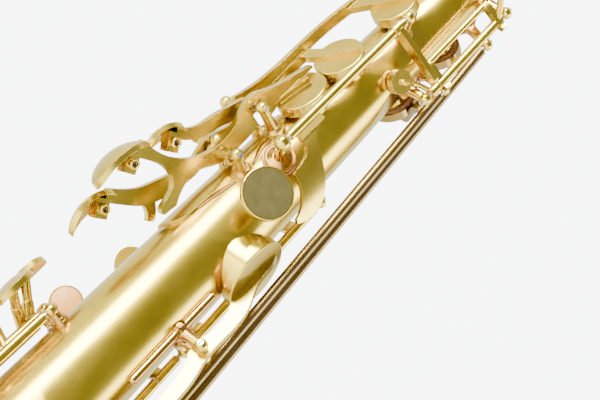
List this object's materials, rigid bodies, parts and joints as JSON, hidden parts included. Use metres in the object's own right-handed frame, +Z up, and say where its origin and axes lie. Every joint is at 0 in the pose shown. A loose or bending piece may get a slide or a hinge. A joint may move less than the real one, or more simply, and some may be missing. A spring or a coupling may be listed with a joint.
{
  "type": "soprano saxophone",
  "caption": "Straight conical brass woodwind with flared bell, padded tone holes under hinged keys, thumb rest and hook, swivelling neck and single-reed mouthpiece.",
  "frame": {"origin": "centre of the bell mouth, in the plane of its rim", "axes": "+Z up the bore from bell to mouthpiece, +Y towards the thumb side (back), -Y the finger side (front), +X the left-hand little-finger and palm-key side"},
  "size_m": [0.0952, 0.0952, 0.692],
  "materials": {
    "body_brass": "satin, aged",
    "key_brass": "satin, aged",
    "post_brass": "polished, aged",
    "rod_steel": "brushed",
    "cork": "matt",
    "felt": "matt",
    "pad_leather": "matt",
    "hard_rubber": "satin",
    "cane": "matt"
  },
  "bodies": {
    "body": {"body_tube": "body_brass", "bell": "body_brass", "bell_ring": "body_brass", "neck_receiver": "body_brass", "octave_vent_pips": "body_brass", "palm_key_mount": "post_brass", "octave_posts": "post_brass", "side_key_posts": "post_brass", "side_rail": "post_brass", "stack_posts": "post_brass", "low_key_posts": "post_brass", "hinge_rods": "rod_steel", "thumb_rest": "key_brass", "thumb_hook": "key_brass", "strap_ring": "post_brass", "key_guard": "key_brass", "guard_felts": "felt"},
    "neck": {"neck": "body_brass", "neck_cork": "cork"},
    "neck_screw": {"neck_screw": "post_brass"},
    "mouthpiece": {"mouthpiece": "hard_rubber", "reed": "cane", "ligature": "post_brass"},
    "ligature_screw_low": {"ligature_screw_low": "post_brass"},
    "ligature_screw_high": {"ligature_screw_high": "post_brass"},
    "octave_thumb_key": {"octave_thumb_key": "key_brass"},
    "octave_rocker": {"octave_rocker": "key_brass"},
    "lower_vent_key": {"lower_vent_key": "key_brass"},
    "upper_vent_key": {"upper_vent_key": "key_brass"},
    "palm_d_key": {"palm_d_key": "key_brass"},
    "palm_eb_key": {"palm_eb_key": "key_brass"},
    "palm_f_key": {"palm_f_key": "key_brass"},
    "side_c_key": {"side_c_key": "key_brass"},
    "side_c_lever": {"side_c_lever": "key_brass"},
    "side_bb_key": {"side_bb_key": "key_brass"},
    "high_e_key": {"high_e_key": "key_brass"},
    "high_fs_key": {"high_fs_key": "key_brass"},
    "b_key": {"b_key": "key_brass", "b_pads": "pad_leather"},
    "bis_key": {"bis_key": "key_brass"},
    "a_key": {"a_key": "key_brass", "a_pads": "pad_leather"},
    "g_key": {"g_key": "key_brass", "g_pads": "pad_leather"},
    "fs_key": {"fs_key": "key_brass"},
    "f_key": {"f_key": "key_brass", "f_pads": "pad_leather"},
    "e_key": {"e_key": "key_brass", "e_pads": "pad_leather"},
    "d_key": {"d_key": "key_brass", "d_pads": "pad_leather"},
    "low_eb_key": {"low_eb_key": "key_brass"},
    "low_c_key": {"low_c_key": "key_brass", "low_c_pads": "pad_leather"},
    "low_cs_key": {"low_cs_key": "key_brass"},
    "low_b_key": {"low_b_key": "key_brass", "low_b_pads": "pad_leather"},
    "low_bb_key": {"low_bb_key": "key_brass", "low_bb_pads": "pad_leather"},
    "gs_key": {"gs_key": "key_brass"}
  },
  "joints": [
    {"name": "octave_thumb_key_turn", "type": "hinge", "parent": "body", "child": "octave_thumb_key", "pos_m": [0.00627, 0.01928, 0.455], "axis": [-0.0094, -0.0289, 0.9995], "range_deg": [0, 5.5], "stiffness_Nm_per_rad": 0.02, "springref_deg": -28.65},
    {"name": "octave_rocker_turn", "type": "hinge", "parent": "body", "child": "octave_rocker", "pos_m": [-0.01343, 0.00941, 0.498], "axis": [0.0112, -0.0078, 0.9999], "range_deg": [-9, 0], "stiffness_Nm_per_rad": 0.02, "springref_deg": 28.65},
    {"name": "upper_vent_key_turn", "type": "hinge", "parent": "body", "child": "upper_vent_key", "pos_m": [0.00217, 0.01419, 0.551], "axis": [-0.9848, -0.1736, 0], "range_deg": [0, 9], "stiffness_Nm_per_rad": 0.02, "springref_deg": -28.65},
    {"name": "lower_vent_key_turn", "type": "hinge", "parent": "body", "child": "lower_vent_key", "pos_m": [-0.01343, 0.00941, 0.498], "axis": [0.0112, -0.0078, 0.9999], "range_deg": [0, 7], "stiffness_Nm_per_rad": 0.02, "springref_deg": -28.65},
    {"name": "palm_d_key_turn", "type": "hinge", "parent": "body", "child": "palm_d_key", "pos_m": [0.01188, 0.01381, 0.446], "axis": [-0.4226, 0.9063, 0], "range_deg": [0, 6], "stiffness_Nm_per_rad": 0.02, "springref_deg": -28.65},
    {"name": "palm_eb_key_turn", "type": "hinge", "parent": "body", "child": "palm_eb_key", "pos_m": [0.01761, 0.00435, 0.4484], "axis": [-0.4226, 0.9063, 0], "range_deg": [0, 3.8], "stiffness_Nm_per_rad": 0.02, "springref_deg": -28.65},
    {"name": "palm_f_key_turn", "type": "hinge", "parent": "body", "child": "palm_f_key", "pos_m": [0.01569, 0.01107, 0.461], "axis": [-0.4226, 0.9063, 0], "range_deg": [0, 3.5], "stiffness_Nm_per_rad": 0.02, "springref_deg": -28.65},
    {"name": "side_c_lever_turn", "type": "hinge", "parent": "body", "child": "side_c_lever", "pos_m": [-0.01495, 0.0121, 0.304], "axis": [-0.5, -0.866, 0], "range_deg": [-1.6, 0], "stiffness_Nm_per_rad": 0.02, "springref_deg": 28.65},
    {"name": "side_c_key_turn", "type": "hinge", "parent": "body", "child": "side_c_key", "pos_m": [-0.01513, 0.0122, 0.4054], "axis": [-0.5, -0.866, 0], "range_deg": [0, 3.2], "stiffness_Nm_per_rad": 0.02, "springref_deg": -28.65},
    {"name": "side_bb_key_turn", "type": "hinge", "parent": "body", "child": "side_bb_key", "pos_m": [-0.00675, 0.01788, 0.355], "axis": [-0.829, -0.5592, 0], "range_deg": [0, 5], "stiffness_Nm_per_rad": 0.02, "springref_deg": -28.65},
    {"name": "high_e_key_turn", "type": "hinge", "parent": "body", "child": "high_e_key", "pos_m": [-0.02383, 0.0042, 0.3585], "axis": [0.0533, -0.0016, 0.9986], "range_deg": [-8, 0], "stiffness_Nm_per_rad": 0.02, "springref_deg": 28.65},
    {"name": "high_fs_key_turn", "type": "hinge", "parent": "body", "child": "high_fs_key", "pos_m": [-0.02713, 0.0019, 0.352], "axis": [0.0611, -0.0043, 0.9981], "range_deg": [-8, 0], "stiffness_Nm_per_rad": 0.02, "springref_deg": 28.65},
    {"name": "b_key_turn", "type": "hinge", "parent": "body", "child": "b_key", "pos_m": [-0.01689, -0.00898, 0.361], "axis": [0.0268, 0.0143, 0.9995], "range_deg": [0, 10], "stiffness_Nm_per_rad": 0.02, "springref_deg": -28.65},
    {"name": "bis_key_turn", "type": "hinge", "parent": "body", "child": "bis_key", "pos_m": [-0.01689, -0.00898, 0.361], "axis": [0.0268, 0.0143, 0.9995], "range_deg": [0, 10], "stiffness_Nm_per_rad": 0.02, "springref_deg": -28.65},
    {"name": "a_key_turn", "type": "hinge", "parent": "body", "child": "a_key", "pos_m": [-0.01689, -0.00898, 0.361], "axis": [0.0268, 0.0143, 0.9995], "range_deg": [0, 10], "stiffness_Nm_per_rad": 0.02, "springref_deg": -28.65},
    {"name": "g_key_turn", "type": "hinge", "parent": "body", "child": "g_key", "pos_m": [-0.01689, -0.00898, 0.361], "axis": [0.0268, 0.0143, 0.9995], "range_deg": [0, 10], "stiffness_Nm_per_rad": 0.02, "springref_deg": -28.65},
    {"name": "fs_key_turn", "type": "hinge", "parent": "body", "child": "fs_key", "pos_m": [-0.02027, -0.01078, 0.235], "axis": [0.0268, 0.0143, 0.9995], "range_deg": [0, 10], "stiffness_Nm_per_rad": 0.02, "springref_deg": -28.65},
    {"name": "f_key_turn", "type": "hinge", "parent": "body", "child": "f_key", "pos_m": [-0.02027, -0.01078, 0.235], "axis": [0.0268, 0.0143, 0.9995], "range_deg": [0, 10], "stiffness_Nm_per_rad": 0.02, "springref_deg": -28.65},
    {"name": "e_key_turn", "type": "hinge", "parent": "body", "child": "e_key", "pos_m": [-0.02027, -0.01078, 0.235], "axis": [0.0268, 0.0143, 0.9995], "range_deg": [0, 10], "stiffness_Nm_per_rad": 0.02, "springref_deg": -28.65},
    {"name": "d_key_turn", "type": "hinge", "parent": "body", "child": "d_key", "pos_m": [-0.02027, -0.01078, 0.235], "axis": [0.0268, 0.0143, 0.9995], "range_deg": [0, 10], "stiffness_Nm_per_rad": 0.02, "springref_deg": -28.65},
    {"name": "gs_key_turn", "type": "hinge", "parent": "body", "child": "gs_key", "pos_m": [0.01687, -0.00823, 0.34], "axis": [-0.0273, 0.0133, 0.9995], "range_deg": [0, 10], "stiffness_Nm_per_rad": 0.02, "springref_deg": -28.65},
    {"name": "low_cs_key_turn", "type": "hinge", "parent": "body", "child": "low_cs_key", "pos_m": [0.02453, -0.00432, 0.138], "axis": [-0.0299, 0.0053, 0.9995], "range_deg": [0, 10], "stiffness_Nm_per_rad": 0.02, "springref_deg": -28.65},
    {"name": "low_b_key_turn", "type": "hinge", "parent": "body", "child": "low_b_key", "pos_m": [0.02606, 0.00182, 0.098], "axis": [-0.0303, -0.0021, 0.9995], "range_deg": [-13, 0], "stiffness_Nm_per_rad": 0.02, "springref_deg": 28.65},
    {"name": "low_bb_key_turn", "type": "hinge", "parent": "body", "child": "low_bb_key", "pos_m": [0.02577, 0.00837, 0.066], "axis": [-0.0289, -0.0094, 0.9995], "range_deg": [-13, 0], "stiffness_Nm_per_rad": 0.02, "springref_deg": 28.65},
    {"name": "low_eb_key_turn", "type": "hinge", "parent": "body", "child": "low_eb_key", "pos_m": [-0.02049, -0.01331, 0.17], "axis": [0.0255, 0.0165, 0.9995], "range_deg": [-10, 0], "stiffness_Nm_per_rad": 0.02, "springref_deg": 28.65},
    {"name": "low_c_key_turn", "type": "hinge", "parent": "body", "child": "low_c_key", "pos_m": [-0.02049, -0.01331, 0.17], "axis": [0.0255, 0.0165, 0.9995], "range_deg": [0, 13], "stiffness_Nm_per_rad": 0.02, "springref_deg": -28.65},
    {"name": "neck_swivel", "type": "hinge", "parent": "body", "child": "neck", "pos_m": [0, 0, 0.584], "axis": [0, 0, 1], "continuous": true},
    {"name": "neck_screw_turn", "type": "hinge", "parent": "body", "child": "neck_screw", "pos_m": [0, 0.0144, 0.5855], "axis": [1, 0, 0], "continuous": true},
    {"name": "mouthpiece_slide", "type": "slide", "parent": "neck", "child": "mouthpiece", "axis": [0, 0, 1], "range_m": [0, 0.012]},
    {"name": "ligature_screw_low_turn", "type": "hinge", "parent": "mouthpiece", "child": "ligature_screw_low", "pos_m": [0, 0.0127, 0.6495], "axis": [1, 0, 0], "continuous": true},
    {"name": "ligature_screw_high_turn", "type": "hinge", "parent": "mouthpiece", "child": "ligature_screw_high", "pos_m": [0, 0.0127, 0.6575], "axis": [1, 0, 0], "continuous": true}
  ],
  "couplings": [
    {"joint": "octave_rocker_turn", "follows": "octave_thumb_key_turn", "ratio": -1.5},
    {"joint": "upper_vent_key_turn", "follows": "octave_thumb_key_turn", "ratio": 1.5},
    {"joint": "side_c_key_turn", "follows": "side_c_lever_turn", "ratio": -2},
    {"joint": "fs_key_turn", "follows": "f_key_turn", "ratio": 1}
  ]
}
